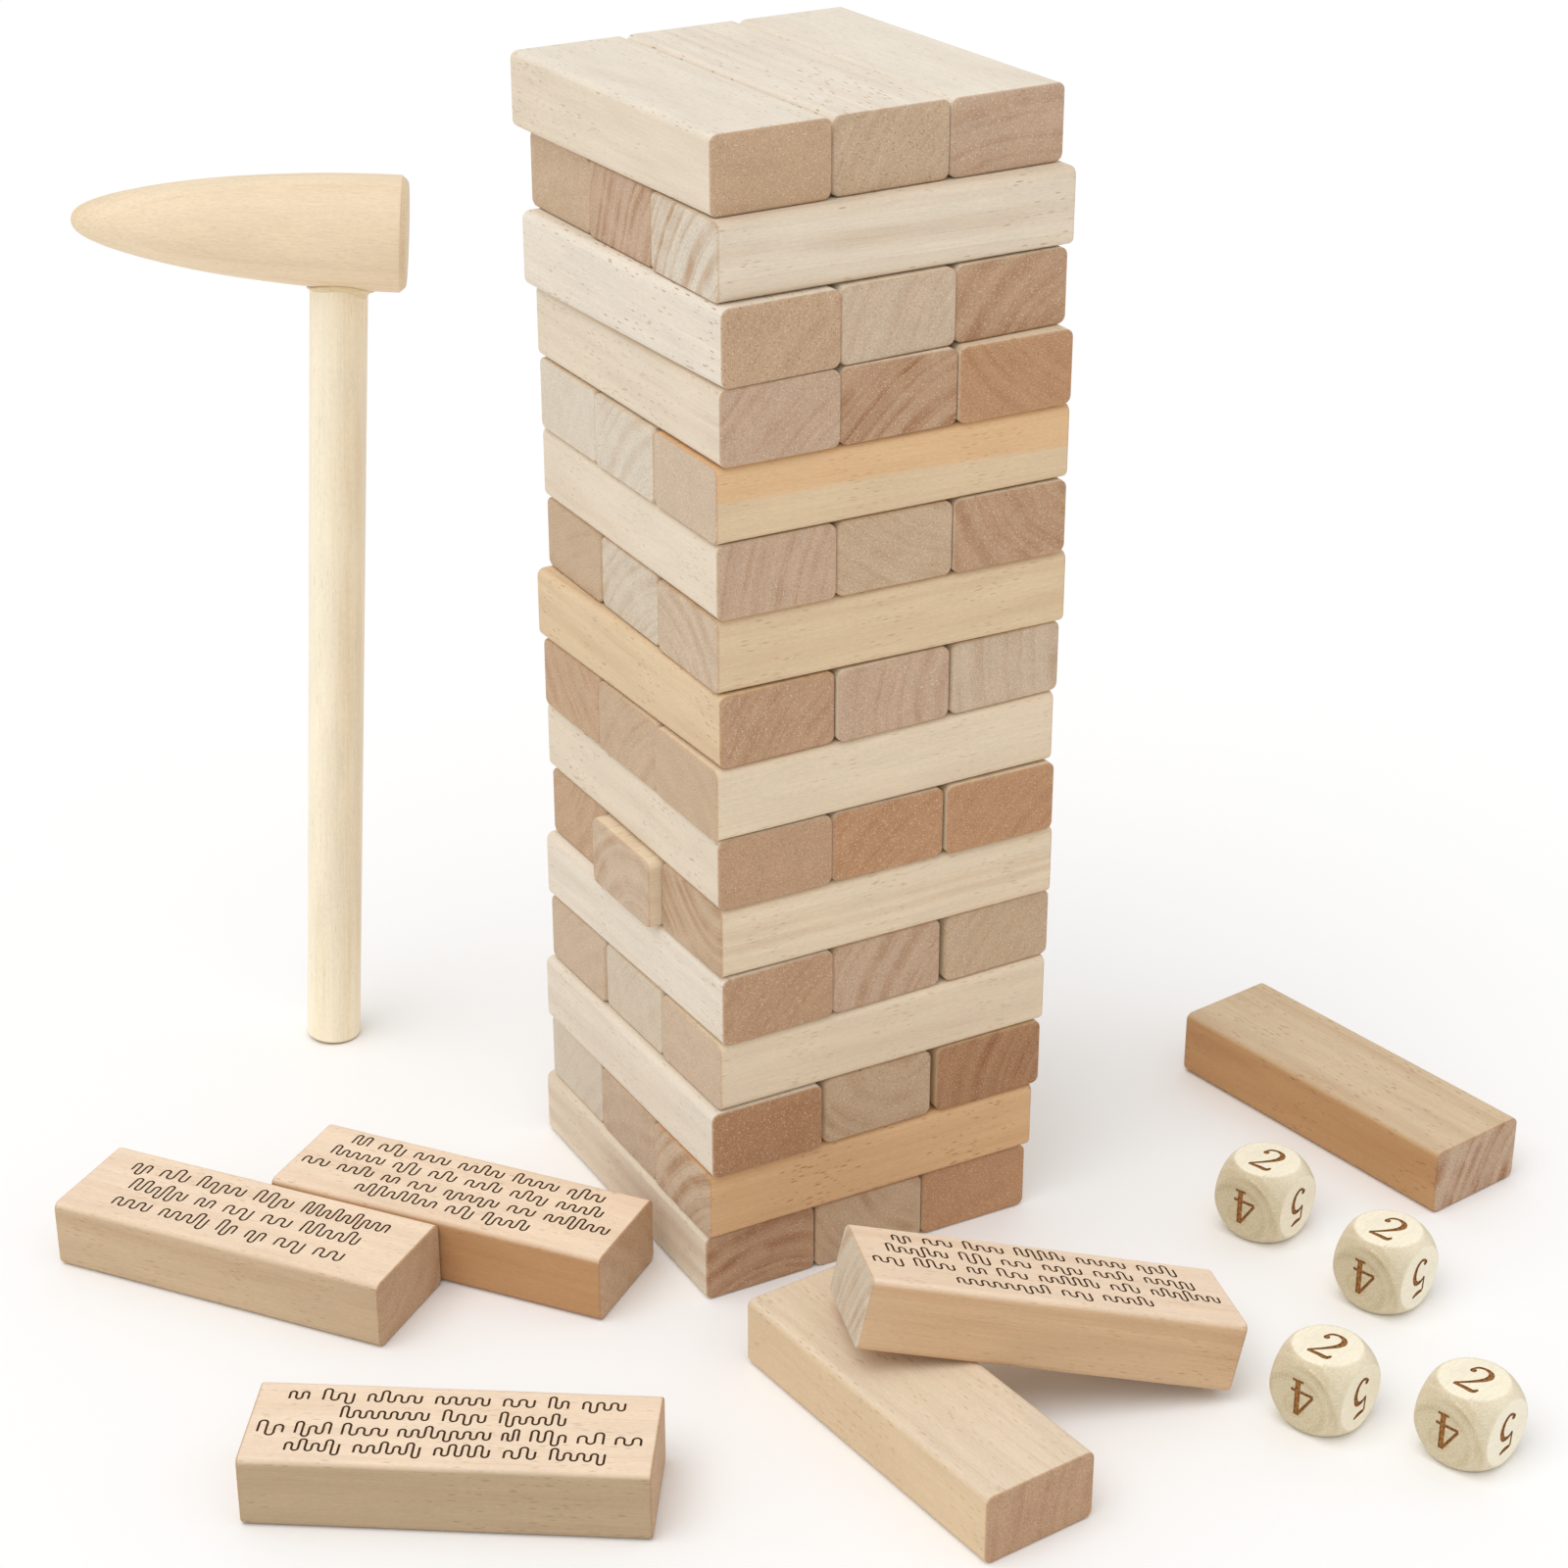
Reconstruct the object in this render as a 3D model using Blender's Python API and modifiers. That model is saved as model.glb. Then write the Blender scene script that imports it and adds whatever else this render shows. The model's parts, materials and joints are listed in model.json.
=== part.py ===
"""A wooden tumbling tower: sixteen levels of three blocks, six drawn blocks, four dice and a mallet.

Metres, Z up. The origin is on the ground under the middle of the tower. The blocks of one level
lie side by side and the next level crosses them, so a level's direction is either X or Y.
"""

import math

import bmesh
import bpy
from mathutils import Matrix, Vector

# One block is three times as long as wide, less what sanding takes off.
BLOCK_LENGTH = 0.1500
BLOCK_WIDTH = 0.0494
BLOCK_THICKNESS = 0.0292
BLOCK_ROUND = 0.0035
BLOCK_ROUND_STEPS = 2
CLEARANCE = 0.0003

DIE_SIDE = 0.0320
DIE_BALL_RADIUS = 0.0210

HEAD_LENGTH = 0.1370
HEAD_RADIUS = 0.0240
HEAD_STEPS = 32
HANDLE_FROM_FLAT_END = 0.0280
HANDLE_RADIUS = 0.0121
HANDLE_ROUND = 0.0012
HANDLE_STEPS = 24
TENON_DEPTH = 0.0280
HEAD_HEIGHT = 0.3780
MALLET_FOOT = (-0.1265, 0.2046)
MALLET_TURN = 154.0
MALLET_LEAN = 3.7

# Each level: the direction its blocks lie in, how far the level is shifted in X and Y in
# millimetres, its turn in degrees, and for each of its blocks how far it is pushed along itself
# and across the level, in millimetres. Blocks count from the left (X), or from the back (Y).
LEVELS = (
    ("Y", (-3.5, 3.0), -0.9, ((0.5, -0.4), (0.0, 0.0), (0.0, 0.4))),
    ("X", (-2.0, 0.5), -0.9, ((0.5, -0.2), (0.0, 0.0), (-0.6, 0.0))),
    ("Y", (-2.0, 0.5), -0.3, ((-1.0, -1.8), (0.6, 0.0), (0.0, 2.4))),
    ("X", (0.0, -0.5), -0.1, ((0.0, 0.0), (0.8, 0.0), (0.4, 0.0))),
    ("Y", (-0.5, 0.0), 0.9, ((0.0, -0.2), (0.8, 0.0), (0.6, 2.2))),
    ("X", (1.0, -1.5), -0.2, ((1.0, 0.0), (-5.5, 0.0), (0.0, 0.0))),
    ("Y", (0.0, -1.5), -0.6, ((0.0, 0.0), (0.4, 0.0), (-0.4, 0.8))),
    ("X", (-0.5, -2.0), 0.1, ((0.4, 0.0), (0.0, 0.0), (-0.8, 0.0))),
    ("Y", (-0.5, -1.5), 0.9, ((1.6, -0.3), (0.0, 0.0), (0.2, 0.9))),
    ("X", (3.0, -1.0), -1.3, ((0.0, 0.0), (0.4, 0.0), (-0.4, 0.8))),
    ("Y", (1.5, -2.0), -1.1, ((0.0, -0.1), (0.6, 0.0), (0.0, 0.1))),
    ("X", (1.0, -2.5), -0.7, ((0.6, -0.2), (0.0, 0.0), (0.0, 0.0))),
    ("Y", (1.0, -2.5), -0.2, ((0.0, 0.0), (0.6, 0.0), (-0.4, 0.0))),
    ("Y", (-1.5, 0.0), 2.0, ((-0.6, 0.0), (0.0, 0.0), (0.4, 0.0))),
    ("X", (3.0, 2.5), 0.6, ((0.8, 0.0), (0.0, 0.0), (-1.0, 1.0))),
    ("Y", (0.5, 8.5), 1.8, ((0.0, -0.6), (0.8, 0.0), (0.4, 0.0))),
)
PLACES = {"Y": ("left", "middle", "right"), "X": ("back", "middle", "front")}

# Drawn blocks that lie on the ground: name, X and Y in millimetres, turn in degrees.
GROUND_BLOCKS = (
    ("loose_block_front_left", (-232.0, 38.0), -52.8),
    ("loose_block_back_left", (-148.8, 11.8), -52.8),
    ("loose_block_near", (-217.5, -132.5), -33.1),
    ("loose_block_prop", (-54.0, -187.2), -84.6),
    ("loose_block_right", (228.8, -86.9), -81.9),
)
# One more leans on the prop block: it slopes down from the prop's edge until a corner meets
# the ground.
LEAN_SLOPE = 15.6
LEAN_TURN = 24.7
LEAN_ALONG_EDGE = -0.0009
LEAN_PAST_EDGE = 0.0343

# Dice: X and Y in millimetres and turn in degrees.
DICE = (
    ((148.0, -136.0), 20.0),
    ((158.7, -201.0), 18.0),
    ((88.0, -252.4), 19.0),
    ((122.0, -296.0), 16.5),
)

# The mallet head's outline from nose to flat end: distance from the nose and radius, in
# millimetres.
HEAD_OUTLINE = (
    (0.0, 0.0),
    (0.7, 2.6),
    (3.2, 5.4),
    (9.3, 8.6),
    (20.0, 12.1),
    (38.0, 16.2),
    (60.0, 19.7),
    (84.0, 22.1),
    (106.0, 23.5),
    (131.5, 24.0),
    (134.8, 23.4),
    (136.6, 21.8),
    (137.0, 19.8),
    (137.0, 0.0),
)

BEECH = (0.80, 0.62, 0.42)
PALE = (0.86, 0.74, 0.55)


def clear_scene():
    for obj in list(bpy.data.objects):
        bpy.data.objects.remove(obj, do_unlink=True)


def new_collection(name, hidden=False):
    made = bpy.data.collections.new(name)
    bpy.context.scene.collection.children.link(made)
    made.hide_render = hidden
    return made


def wood(name, colour, roughness):
    material = bpy.data.materials.new(name)
    material.use_nodes = True
    shader = material.node_tree.nodes["Principled BSDF"]
    shader.inputs["Base Color"].default_value = (*colour, 1.0)
    shader.inputs["Roughness"].default_value = roughness
    material.diffuse_color = (*colour, 1.0)
    return material


def add_object(name, shape, collection, colour=None, roughness=0.6):
    """Makes an object of a bmesh, and gives it its own wood."""
    mesh = bpy.data.meshes.new(name)
    shape.to_mesh(mesh)
    shape.free()
    obj = bpy.data.objects.new(name, mesh)
    collection.objects.link(obj)
    if colour:
        mesh.materials.append(wood(name, colour, roughness))
    return obj


def add_modifier(obj, kind, **settings):
    modifier = obj.modifiers.new(kind.title(), kind)
    for key, value in settings.items():
        setattr(modifier, key, value)
    return modifier


def hide_cutter(obj):
    obj.hide_render = True
    obj.display_type = "WIRE"


def block(name, place, collection):
    """A rounded block lying along its own X, its underside at its own Z = 0."""
    shape = bmesh.new()
    bmesh.ops.create_cube(
        shape,
        size=1.0,
        matrix=Matrix.Translation((0, 0, BLOCK_THICKNESS / 2))
        @ Matrix.Diagonal((BLOCK_LENGTH, BLOCK_WIDTH, BLOCK_THICKNESS, 1.0)),
    )
    obj = add_object(name, shape, collection, BEECH)
    add_modifier(
        obj,
        "BEVEL",
        width=BLOCK_ROUND,
        segments=BLOCK_ROUND_STEPS,
        limit_method="ANGLE",
        use_clamp_overlap=False,
    )
    obj.matrix_world = place
    return obj


def turn(degrees, axis="Z"):
    return Matrix.Rotation(math.radians(degrees), 4, axis)


def at(x, y, z=0.0):
    return Matrix.Translation((x, y, z))


def level_blocks(collection):
    pitch = BLOCK_THICKNESS + CLEARANCE
    step = BLOCK_WIDTH + CLEARANCE
    for number, (direction, shift, angle, pushes) in enumerate(LEVELS, start=1):
        level = at(shift[0] / 1000, shift[1] / 1000, (number - 1) * pitch) @ turn(angle)
        for index, (along, across) in enumerate(pushes):
            sideways = (index - 1) * step + across / 1000
            if direction == "Y":
                place = level @ at(sideways, along / 1000) @ turn(90)
            else:
                place = level @ at(along / 1000, -sideways)
            name = f"level_{number:02d}_{PLACES[direction][index]}"
            block(name, place, collection)


def ground_blocks(collection):
    for name, (x, y), angle in GROUND_BLOCKS:
        block(name, at(x / 1000, y / 1000) @ turn(angle), collection)


def leaning_block(collection):
    """Its underside holds the prop's long top edge, and it slopes down at right angles to it."""
    x, y = next(spot for name, spot, _ in GROUND_BLOCKS if name == "loose_block_prop")
    angle = next(a for name, _, a in GROUND_BLOCKS if name == "loose_block_prop")
    # Leaning this way, the underside touches the prop's rounded edge, not its sharp outline.
    slope = math.radians(LEAN_SLOPE)
    round_centre = Vector((0, BLOCK_WIDTH / 2 - BLOCK_ROUND, BLOCK_THICKNESS - BLOCK_ROUND))
    reach = BLOCK_ROUND + CLEARANCE
    touch = round_centre + reach * Vector((0, math.sin(slope), math.cos(slope)))
    edge = at(x / 1000, y / 1000) @ turn(angle) @ Matrix.Translation(touch)
    # Its own X first points downhill, away from the prop, and then turns in the sloping plane.
    place = (
        edge
        @ turn(-LEAN_SLOPE, "X")
        @ at(LEAN_ALONG_EDGE, LEAN_PAST_EDGE)
        @ turn(90 - LEAN_TURN)
    )
    return block("loose_block_leaning", place, collection)


def dice(collection, cutters):
    for number, ((x, y), angle) in enumerate(DICE, start=1):
        ball = bmesh.new()
        bmesh.ops.create_uvsphere(ball, u_segments=32, v_segments=18, radius=DIE_BALL_RADIUS)
        die = add_object(f"die_{number}", ball, collection, PALE, 0.55)
        cube = bmesh.new()
        bmesh.ops.create_cube(cube, size=DIE_SIDE)
        cutter = add_object(f"die_{number}_cutter", cube, cutters)
        hide_cutter(cutter)
        place = at(x / 1000, y / 1000, DIE_SIDE / 2) @ turn(angle)
        die.matrix_world = place
        cutter.matrix_world = place
        add_modifier(die, "BOOLEAN", operation="INTERSECT", solver="EXACT", object=cutter)


def mallet(collection, cutters):
    """The handle stands on its end, with the head's nose along its own X."""
    x, y = MALLET_FOOT
    lift = HANDLE_RADIUS * math.sin(math.radians(MALLET_LEAN))
    place = at(x, y, lift) @ turn(MALLET_TURN) @ turn(-MALLET_LEAN, "Y")

    outline = bmesh.new()
    points = [
        outline.verts.new((radius / 1000, 0, (HEAD_LENGTH * 1000 - along) / 1000))
        for along, radius in HEAD_OUTLINE
    ]
    for first, second in zip(points, points[1:]):
        outline.edges.new((first, second))
    head = add_object("mallet_head", outline, collection, BEECH)
    add_modifier(
        head,
        "SCREW",
        steps=HEAD_STEPS,
        render_steps=HEAD_STEPS,
        use_merge_vertices=True,
        merge_threshold=0.00001,
    )
    laid = Matrix.Translation((-HANDLE_FROM_FLAT_END, 0, HEAD_HEIGHT)) @ turn(90, "Y")
    head.matrix_world = place @ laid

    top = HEAD_HEIGHT - HEAD_RADIUS + TENON_DEPTH
    bore = bmesh.new()
    bmesh.ops.create_cone(
        bore,
        cap_ends=True,
        segments=HANDLE_STEPS,
        radius1=HANDLE_RADIUS + CLEARANCE,
        radius2=HANDLE_RADIUS + CLEARANCE,
        depth=TENON_DEPTH + 0.02,
        matrix=Matrix.Translation((0, 0, top + CLEARANCE - (TENON_DEPTH + 0.02) / 2)),
    )
    cutter = add_object("mallet_bore_cutter", bore, cutters)
    hide_cutter(cutter)
    cutter.matrix_world = place
    add_modifier(head, "BOOLEAN", operation="DIFFERENCE", solver="EXACT", object=cutter)

    rod = bmesh.new()
    bmesh.ops.create_cone(
        rod,
        cap_ends=True,
        segments=HANDLE_STEPS,
        radius1=HANDLE_RADIUS,
        radius2=HANDLE_RADIUS,
        depth=top,
        matrix=Matrix.Translation((0, 0, top / 2)),
    )
    handle = add_object("mallet_handle", rod, collection, PALE, 0.5)
    add_modifier(
        handle, "BEVEL", width=HANDLE_ROUND, segments=2, limit_method="ANGLE", angle_limit=0.8
    )
    handle.matrix_world = place


def finish(collection):
    """Rounded parts shade smoothly, and edges sharper than 30 degrees stay crisp."""
    for obj in collection.objects:
        obj.data.shade_smooth()
        obj.data.set_sharp_from_angle(angle=math.radians(30))


def main():
    clear_scene()
    collection = new_collection("tumbling_tower")
    cutters = new_collection("cutters", hidden=True)
    level_blocks(collection)
    ground_blocks(collection)
    leaning_block(collection)
    dice(collection, cutters)
    mallet(collection, cutters)
    finish(collection)


main()
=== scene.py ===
"""Looks of a wooden tumbling tower: its blocks, six drawn blocks, four dice and a mallet.

It is laid out as a Blender add-on and run as a script. Lengths are in metres, and the wood
patterns count in millimetres, measured in the log that each piece was sawn from.
"""

import json
import math
import random
from collections import namedtuple

import bmesh
import bpy
import numpy as np
from bpy.props import FloatProperty, FloatVectorProperty, PointerProperty
from bpy.types import Operator, Panel, PropertyGroup
from mathutils import Matrix, Vector, noise


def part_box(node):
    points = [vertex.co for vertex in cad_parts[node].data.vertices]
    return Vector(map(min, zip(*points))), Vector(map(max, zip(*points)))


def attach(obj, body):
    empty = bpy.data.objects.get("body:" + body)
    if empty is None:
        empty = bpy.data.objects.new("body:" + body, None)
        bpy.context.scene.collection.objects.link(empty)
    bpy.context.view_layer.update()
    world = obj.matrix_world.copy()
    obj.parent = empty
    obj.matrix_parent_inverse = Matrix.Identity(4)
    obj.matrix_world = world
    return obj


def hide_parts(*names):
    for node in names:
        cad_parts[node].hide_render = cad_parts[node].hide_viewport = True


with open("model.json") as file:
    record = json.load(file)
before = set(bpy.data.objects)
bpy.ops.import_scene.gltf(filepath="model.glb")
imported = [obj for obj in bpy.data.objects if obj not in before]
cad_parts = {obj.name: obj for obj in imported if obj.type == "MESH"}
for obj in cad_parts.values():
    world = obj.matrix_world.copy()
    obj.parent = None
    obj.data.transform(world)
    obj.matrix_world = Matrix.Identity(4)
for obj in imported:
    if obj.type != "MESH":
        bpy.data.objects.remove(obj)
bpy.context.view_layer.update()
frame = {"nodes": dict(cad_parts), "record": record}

bl_info = {
    "name": "Tumbling Tower",
    "version": (1, 0, 0),
    "blender": (4, 5, 0),
    "location": "3D View > Sidebar > Tumbling Tower",
    "description": "Sanded wooden blocks, dice and a mallet around a packed frame",
    "category": "Add Mesh",
}

MM = 0.001
BODY_OF = {
    node: body
    for body, members in frame["record"]["behaviour"]["bodies"].items()
    for node in members
}
RIGHT_OF_VIEW = Vector((0.87, -0.49, 0.0))

# How each block looks: tone of its long faces, tone of its ends, the bearing in degrees and
# the distance in mm from the middle of its seen end to the pith of its log, the width in mm of
# its growth rings, and how strongly rings and pores show, from 0 to 1.
BLOCK_LOOKS = {
    "level_16_left": ("cream", "warm_tan", 96, 70, 4.2, 0.30, 0.35),
    "level_16_middle": ("milk", "tan", -33, 95, 2.6, 0.45, 1.00),
    "level_16_right": ("milk", "rose_tan", -86, 120, 3.6, 0.60, 0.25),
    "level_15_back": ("straw", "tan", -70, 90, 4.5, 0.30, 0.30),
    "level_15_middle": ("straw", "rose_tan", -22, 110, 2.4, 0.75, 0.30),
    "level_15_front": ("cream", "chalk", -35, 90, 3.2, 0.85, 0.45),
    "level_14_left": ("milk", "warm_tan", -42, 85, 3.0, 0.35, 0.60),
    "level_14_middle": ("cream", "sand", -28, 100, 2.8, 0.40, 0.35),
    "level_14_right": ("cream", "brown", -50, 80, 3.8, 0.65, 0.40),
    "level_13_left": ("cream", "rose_tan", -45, 95, 2.7, 0.45, 0.30),
    "level_13_middle": ("cream", "brown", -54, 90, 3.0, 0.85, 0.35),
    "level_13_right": ("straw", "russet", 48, 100, 2.4, 0.45, 0.50),
    "level_12_back": ("straw", "chalk", -30, 110, 3.5, 0.25, 0.30),
    "level_12_middle": ("cream", "chalk", -40, 70, 2.8, 0.45, 0.60),
    "level_12_front": ("honey", "sand", 80, 120, 4.0, 0.15, 0.25),
    "level_11_left": ("cream", "rose_tan", -14, 120, 2.6, 0.50, 0.25),
    "level_11_middle": ("straw", "tan", 58, 90, 2.6, 0.45, 0.40),
    "level_11_right": ("cream", "brown", 38, 62, 3.4, 0.65, 0.35),
    "level_10_back": ("straw", "tan", -60, 110, 3.6, 0.35, 0.35),
    "level_10_middle": ("straw", "light", -50, 95, 2.6, 0.60, 0.35),
    "level_10_front": ("honey", "sand", 232, 62, 3.0, 0.55, 0.30),
    "level_09_left": ("honey", "brown", -36, 70, 2.2, 0.55, 0.40),
    "level_09_middle": ("cream", "rose_tan", -8, 90, 3.0, 0.55, 0.25),
    "level_09_right": ("cream", "sand", 4, 110, 3.4, 0.55, 0.25),
    "level_08_back": ("straw", "warm_tan", 42, 55, 3.2, 0.50, 0.30),
    "level_08_middle": ("straw", "tan", -44, 90, 2.8, 0.50, 0.40),
    "level_08_front": ("straw", "tan", -120, 48, 4.6, 0.25, 0.25),
    "level_07_left": ("cream", "brown", -88, 110, 4.5, 0.20, 0.45),
    "level_07_middle": ("cream", "russet", -52, 90, 2.8, 0.50, 0.35),
    "level_07_right": ("straw", "russet", -46, 80, 2.6, 0.45, 0.40),
    "level_06_back": ("cream", "warm_tan", 140, 60, 3.0, 0.45, 0.45),
    "level_06_middle": ("straw", "sand", -58, 30, 3.4, 0.65, 0.30),
    "level_06_front": ("straw", "tan", 62, 42, 3.2, 0.75, 0.30),
    "level_05_left": ("milk", "brown", -40, 85, 2.6, 0.50, 0.35),
    "level_05_middle": ("cream", "rose_tan", -30, 75, 3.2, 0.60, 0.30),
    "level_05_right": ("straw", "tan", -38, 95, 2.6, 0.40, 0.30),
    "level_04_back": ("cream", "sand", -50, 95, 3.4, 0.30, 0.30),
    "level_04_middle": ("cream", "light", -35, 90, 3.0, 0.35, 0.35),
    "level_04_front": ("straw", "sand", -78, 120, 4.4, 0.15, 0.25),
    "level_03_left": ("milk", "dark", -84, 90, 4.2, 0.30, 0.30),
    "level_03_middle": ("straw", "tan", 62, 26, 3.4, 0.55, 0.80),
    "level_03_right": ("honey", "dark", -20, 60, 2.8, 0.75, 0.40),
    "level_02_back": ("cream", "chalk", -40, 90, 3.0, 0.30, 0.30),
    "level_02_middle": ("straw", "sand", -70, 80, 3.4, 0.45, 0.30),
    "level_02_front": ("apricot", "sand", -42, 75, 3.2, 0.80, 0.60),
    "level_01_left": ("cream", "brown", -82, 60, 2.8, 0.80, 0.35),
    "level_01_middle": ("straw", "tan", 42, 58, 4.0, 0.60, 0.30),
    "level_01_right": ("straw", "russet", -70, 110, 4.0, 0.25, 0.30),
    "loose_block_front_left": ("butter", "warm_tan", 140, 24, 4.2, 0.55, 0.30),
    "loose_block_back_left": ("amber", "warm_tan", 220, 80, 3.4, 0.45, 0.35),
    "loose_block_near": ("olive", "warm_tan", 60, 95, 3.0, 0.30, 0.30),
    "loose_block_prop": ("honey", "brown", -8, 110, 3.4, 0.50, 0.35),
    "loose_block_leaning": ("biscuit", "light", -24, 60, 3.6, 0.70, 0.30),
    "loose_block_right": ("tawny", "rose_tan", -24, 80, 4.6, 1.00, 0.50),
}
# Blocks whose top face has a paler tone than their sides: painted light, standing in for the
# brighter light that falls on a top face.
PAINTED_LIGHT_TOPS = {
    "loose_block_front_left": "peach",
    "loose_block_back_left": "peach",
    "loose_block_near": "peach",
    "loose_block_leaning": "peach",
    "loose_block_right": "khaki",
    "loose_block_prop": "oat",
    "level_16_left": "milk",
}
# Blocks sawn across the heartwood: its tone, how far it reaches from the pith in mm.
HEARTWOOD = {
    "level_12_front": ("apricot", 118),
    "level_10_front": ("apricot", 50),
}

# The marks burnt into a drawn block: its lines of word-like groups, as counts of strokes.
MARK_LINES = {
    "loose_block_front_left": ((2, 3, 5, 4, 9), (6, 2, 3, 3, 6), (4, 5, 2, 2, 3, 3)),
    "loose_block_back_left": (
        (2, 3, 4, 5, 5, 4), (6, 3, 3, 4, 4, 5), (3, 4, 2, 3, 6, 3, 7), (9, 3, 5),
    ),
    "loose_block_near": (
        (2, 3, 5, 5, 3, 2, 4), (8, 4, 6), (3, 4, 5, 10, 2, 4, 3, 3), (5, 6, 5, 3, 5),
    ),
    "loose_block_leaning": (
        (2, 3, 4, 5, 5, 4), (6, 3, 3, 4, 4, 5), (3, 4, 2, 3, 6, 3, 7), (9, 3, 5),
    ),
}
# How far apart the lines stand in mm, and how wide a letter is next to that, by their number.
LEADING = {3: 12.4, 4: 10.2}
LETTER_WIDTH = {3: 0.36, 4: 0.41}
UPRIGHT_GAP = 2.2
MARK_MARGIN = 9 * MM
# How often an upright is taller or lower than the rest, and by how much of its height.
TALL_SHARE, TALL_HEIGHT = 0.3, 1.5
LOW_SHARE, LOW_DEPTH = 0.15, 0.4
NO_HEARTWOOD = -1000.0

# The camera: its place, its turn about X and Z in degrees, and its focal length in mm.
CAMERA_PLACE = (-0.5904, -1.0347, 0.7495)
CAMERA_TURN = (64.52, -29.54)
CAMERA_LENS = 74.81
SUN_SIDE = Vector((-0.39, -0.10, 0.92))
FLOOR_LEVEL = -0.2 * MM

# Numerals as pen strokes, each a run of (x, y, half width), and ball ends as (x, y, radius), in
# millimetres from the numeral's middle.
NUMERALS = {
    "1": (
        [
            [(0.2, 7.4, 0.95), (0.2, -7.2, 0.95)],
            [(-2.8, 5.4, 0.35), (-0.6, 7.6, 0.5)],
            [(-2.6, -7.4, 0.4), (3.0, -7.4, 0.4)],
        ],
        [],
    ),
    "2": (
        [
            [(-3.9, 4.8, 0.35), (-2.7, 7.0, 0.45), (0.1, 7.9, 0.5), (2.9, 6.8, 0.8),
             (3.9, 4.3, 1.0), (2.9, 1.4, 0.8), (0.5, -1.8, 0.55), (-2.2, -4.9, 0.45),
             (-4.3, -7.0, 0.4)],
            [(-4.5, -7.2, 0.5), (0.0, -7.0, 0.75), (3.7, -7.1, 0.8), (4.8, -5.0, 0.3)],
        ],
        [(-3.3, 4.3, 1.25)],
    ),
    "3": (
        [
            [(-3.6, 5.6, 0.4), (-1.5, 7.6, 0.45), (1.2, 7.6, 0.6), (3.2, 5.5, 0.9),
             (2.2, 2.4, 0.6), (-0.8, 0.7, 0.4)],
            [(-0.8, 0.8, 0.4), (2.6, 0.0, 0.6), (4.0, -3.2, 1.0), (2.4, -6.4, 0.8),
             (-0.8, -7.7, 0.45), (-3.6, -6.4, 0.4)],
        ],
        [(-3.3, 5.0, 1.2), (-3.5, -5.4, 1.2)],
    ),
    "4": (
        [
            [(1.6, 7.6, 0.45), (-4.7, -2.6, 0.4)],
            [(-4.9, -2.9, 0.5), (4.9, -2.9, 0.5)],
            [(2.0, 7.8, 0.9), (2.0, -7.2, 0.9)],
            [(-0.4, -7.4, 0.4), (4.4, -7.4, 0.4)],
        ],
        [],
    ),
    "5": (
        [
            [(-2.7, 7.2, 0.45), (1.4, 7.2, 0.75), (4.2, 8.0, 0.3)],
            [(-2.7, 7.2, 0.4), (-3.3, 1.2, 0.4)],
            [(-3.4, 1.2, 0.4), (-0.6, 2.5, 0.55), (2.8, 1.5, 0.9), (3.9, -2.0, 1.0),
             (2.5, -5.7, 0.8), (-0.6, -7.5, 0.5), (-3.3, -6.4, 0.4)],
        ],
        [(-3.4, -5.4, 1.2)],
    ),
    "6": (
        [
            [(3.4, 7.4, 0.35), (0.2, 6.2, 0.5), (-2.8, 2.6, 0.8), (-4.0, -2.0, 1.0),
             (-2.6, -6.1, 0.8), (0.0, -7.6, 0.5), (2.8, -6.1, 0.8), (3.8, -3.1, 0.95),
             (2.6, 0.0, 0.7), (0.2, 0.9, 0.5), (-2.4, -0.6, 0.45), (-3.5, -2.4, 0.4)],
        ],
        [],
    ),
}


# ---------------------------------------------------------------------------------------------
# Colours and settings


def linear(code):
    """An sRGB hex code as linear red, green and blue."""
    values = [int(code[i : i + 2], 16) / 255 for i in (0, 2, 4)]
    return tuple(v / 12.92 if v <= 0.04045 else ((v + 0.055) / 1.055) ** 2.4 for v in values)


def tone(label, code, description):
    return FloatVectorProperty(
        name=label, description=description, subtype="COLOR", size=3, min=0, max=1,
        default=linear(code),
    )


def length_in(label, millimetres, description, most=50.0):
    return FloatProperty(
        name=label, description=description, default=millimetres * MM, min=0, max=most * MM,
        unit="LENGTH", subtype="DISTANCE", precision=5,
    )


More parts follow.
